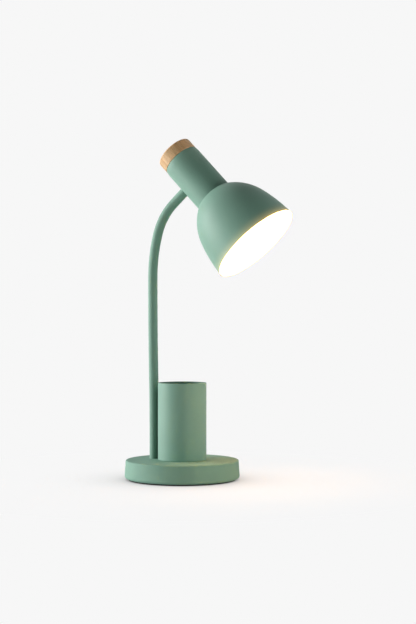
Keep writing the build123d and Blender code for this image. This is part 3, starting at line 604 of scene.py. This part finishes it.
floor_material = bpy.data.materials.new("floor_pale")
floor_material.use_nodes = True
floor.data.materials.append(floor_material)
ground = Stage(floor_material.node_tree)
# Painted contact shadow: ambient occlusion darkens the floor's glow close to the object
contact = ground.add("ShaderNodeAmbientOcclusion", grey(1), CONTACT_REACH, samples=CONTACT_SAMPLES)
level = ground.add("ShaderNodeMapRange", contact, 0.0, 1.0, FLOOR_GLOW * (1 - PAINTED_SHADOW_DARK), FLOOR_GLOW)
glow = ground.add("ShaderNodeEmission", grey(1), level)
near = ground.add("ShaderNodeAddShader", ground.add("ShaderNodeBsdfDiffuse", grey(FLOOR_DIFFUSE)), glow)
far = ground.add("ShaderNodeEmission", grey(1), BACKGROUND)
distance = ground.tree.nodes.new("ShaderNodeVectorMath")
distance.operation = "LENGTH"
here = ground.tree.nodes.new("ShaderNodeTexCoord").outputs["Object"]
ground.tree.links.new(here, distance.inputs[0])
fade = ground.add(
    "ShaderNodeMapRange", distance.outputs["Value"], FADE_START, FADE_END, interpolation_type="SMOOTHSTEP"
)
seen = ground.add("ShaderNodeMixShader", fade, near, far)
plain = ground.add("ShaderNodeBsdfDiffuse", grey(FLOOR_BOUNCE))
ground.add("ShaderNodeOutputMaterial", ground.add("ShaderNodeMixShader", ground.shown(), plain, seen))

world = bpy.data.worlds.new("studio")
scene.world = world
world.use_nodes = True
sky = Stage(world.node_tree)
ambient = sky.add("ShaderNodeBackground", (*AMBIENT_COLOUR, 1), AMBIENT)
white = sky.add("ShaderNodeBackground", grey(1), BACKGROUND)
sky.add("ShaderNodeOutputWorld", sky.add("ShaderNodeMixShader", sky.shown(), ambient, white))

# Lights and camera, placed in metres by the camera's right, ahead and up
VIEW_AZIMUTH = math.radians(24.5)
AIM = Vector((0.02, 0, 0.26))
CAP_SPOT_COLOUR, CAP_SPOT_WATTS = (1.0, 0.68, 0.6), 9.5
CAP_SPOT_CONE, CAP_SPOT_BLEND, CAP_SPOT_SIZE = math.radians(3.0), 0.4, 0.03
CAP_SPOT_RIGHT, CAP_SPOT_BACK, CAP_SPOT_UP, CAP_SPOT_AHEAD = 0.65, 0.65, 0.45, 0.012
SENSOR, FOCAL_PIXELS, PICTURE_PIXELS = 36.0, 1370.0, 624.0
CAMERA_BACK, CAMERA_RIGHT, CAMERA_UP = 2.020, 0.03804, 0.2466
view_right = Vector((math.cos(VIEW_AZIMUTH), math.sin(VIEW_AZIMUTH), 0))
view_ahead = Vector((-math.sin(VIEW_AZIMUTH), math.cos(VIEW_AZIMUTH), 0))
view_up = Vector((0, 0, 1))


def facing_along(direction):
    """The rotation of a lamp or camera that looks along a direction."""
    return direction.to_track_quat("-Z", "Y").to_euler()


def seen_from(point, right, back, up):
    """A place to the right of a point, back towards the camera and up from it."""
    return point + view_right * right - view_ahead * back + view_up * up


def softbox(name, right, back, up, size, watts, colour=WHITE):
    """An area lamp placed from the camera's point of view and aimed at the object."""
    data = bpy.data.lights.new(name, "AREA")
    data.shape = "RECTANGLE"
    data.size, data.size_y = size
    data.energy = watts
    data.color = colour
    lamp = bpy.data.objects.new(name, data)
    lamp.location = seen_from(AIM, right, back, up)
    lamp.rotation_euler = facing_along(AIM - lamp.location)
    scene.collection.objects.link(lamp)


softbox("key", right=-2.0, back=-0.24, up=0.40, size=(1.3, 1.3), watts=55.0, colour=(1.0, 0.98, 0.99))
softbox("side_fill", right=1.0, back=0.15, up=0.1, size=(0.5, 0.5), watts=2.2)
softbox("front_fill", right=0.45, back=0.8, up=-0.17, size=(0.5, 0.12), watts=1.5, colour=AMBIENT_COLOUR)

cap = nodes["wood_cap"]
cap_corners = [cap.matrix_world @ Vector(corner) for corner in cap.bound_box]
cap_middle = sum(cap_corners, Vector()) / len(cap_corners)
cap_spot_data = bpy.data.lights.new("cap_spot", "SPOT")
cap_spot_data.energy = CAP_SPOT_WATTS
cap_spot_data.color = CAP_SPOT_COLOUR
cap_spot_data.spot_size = CAP_SPOT_CONE
cap_spot_data.spot_blend = CAP_SPOT_BLEND
cap_spot_data.shadow_soft_size = CAP_SPOT_SIZE
cap_spot = bpy.data.objects.new("cap_spot", cap_spot_data)
cap_spot.location = seen_from(cap_middle, CAP_SPOT_RIGHT, CAP_SPOT_BACK, CAP_SPOT_UP)
cap_spot.rotation_euler = facing_along(cap_middle + head_direction * CAP_SPOT_AHEAD - cap_spot.location)
scene.collection.objects.link(cap_spot)

camera_data = bpy.data.cameras.new("camera")
camera_data.sensor_fit = "AUTO"
camera_data.sensor_width = SENSOR
camera_data.lens = SENSOR * FOCAL_PIXELS / PICTURE_PIXELS
camera = bpy.data.objects.new("camera", camera_data)
camera.location = seen_from(Vector(), CAMERA_RIGHT, CAMERA_BACK, CAMERA_UP)
camera.rotation_euler = facing_along(view_ahead)
scene.collection.objects.link(camera)
scene.camera = camera
scene.view_settings.view_transform = "Standard"
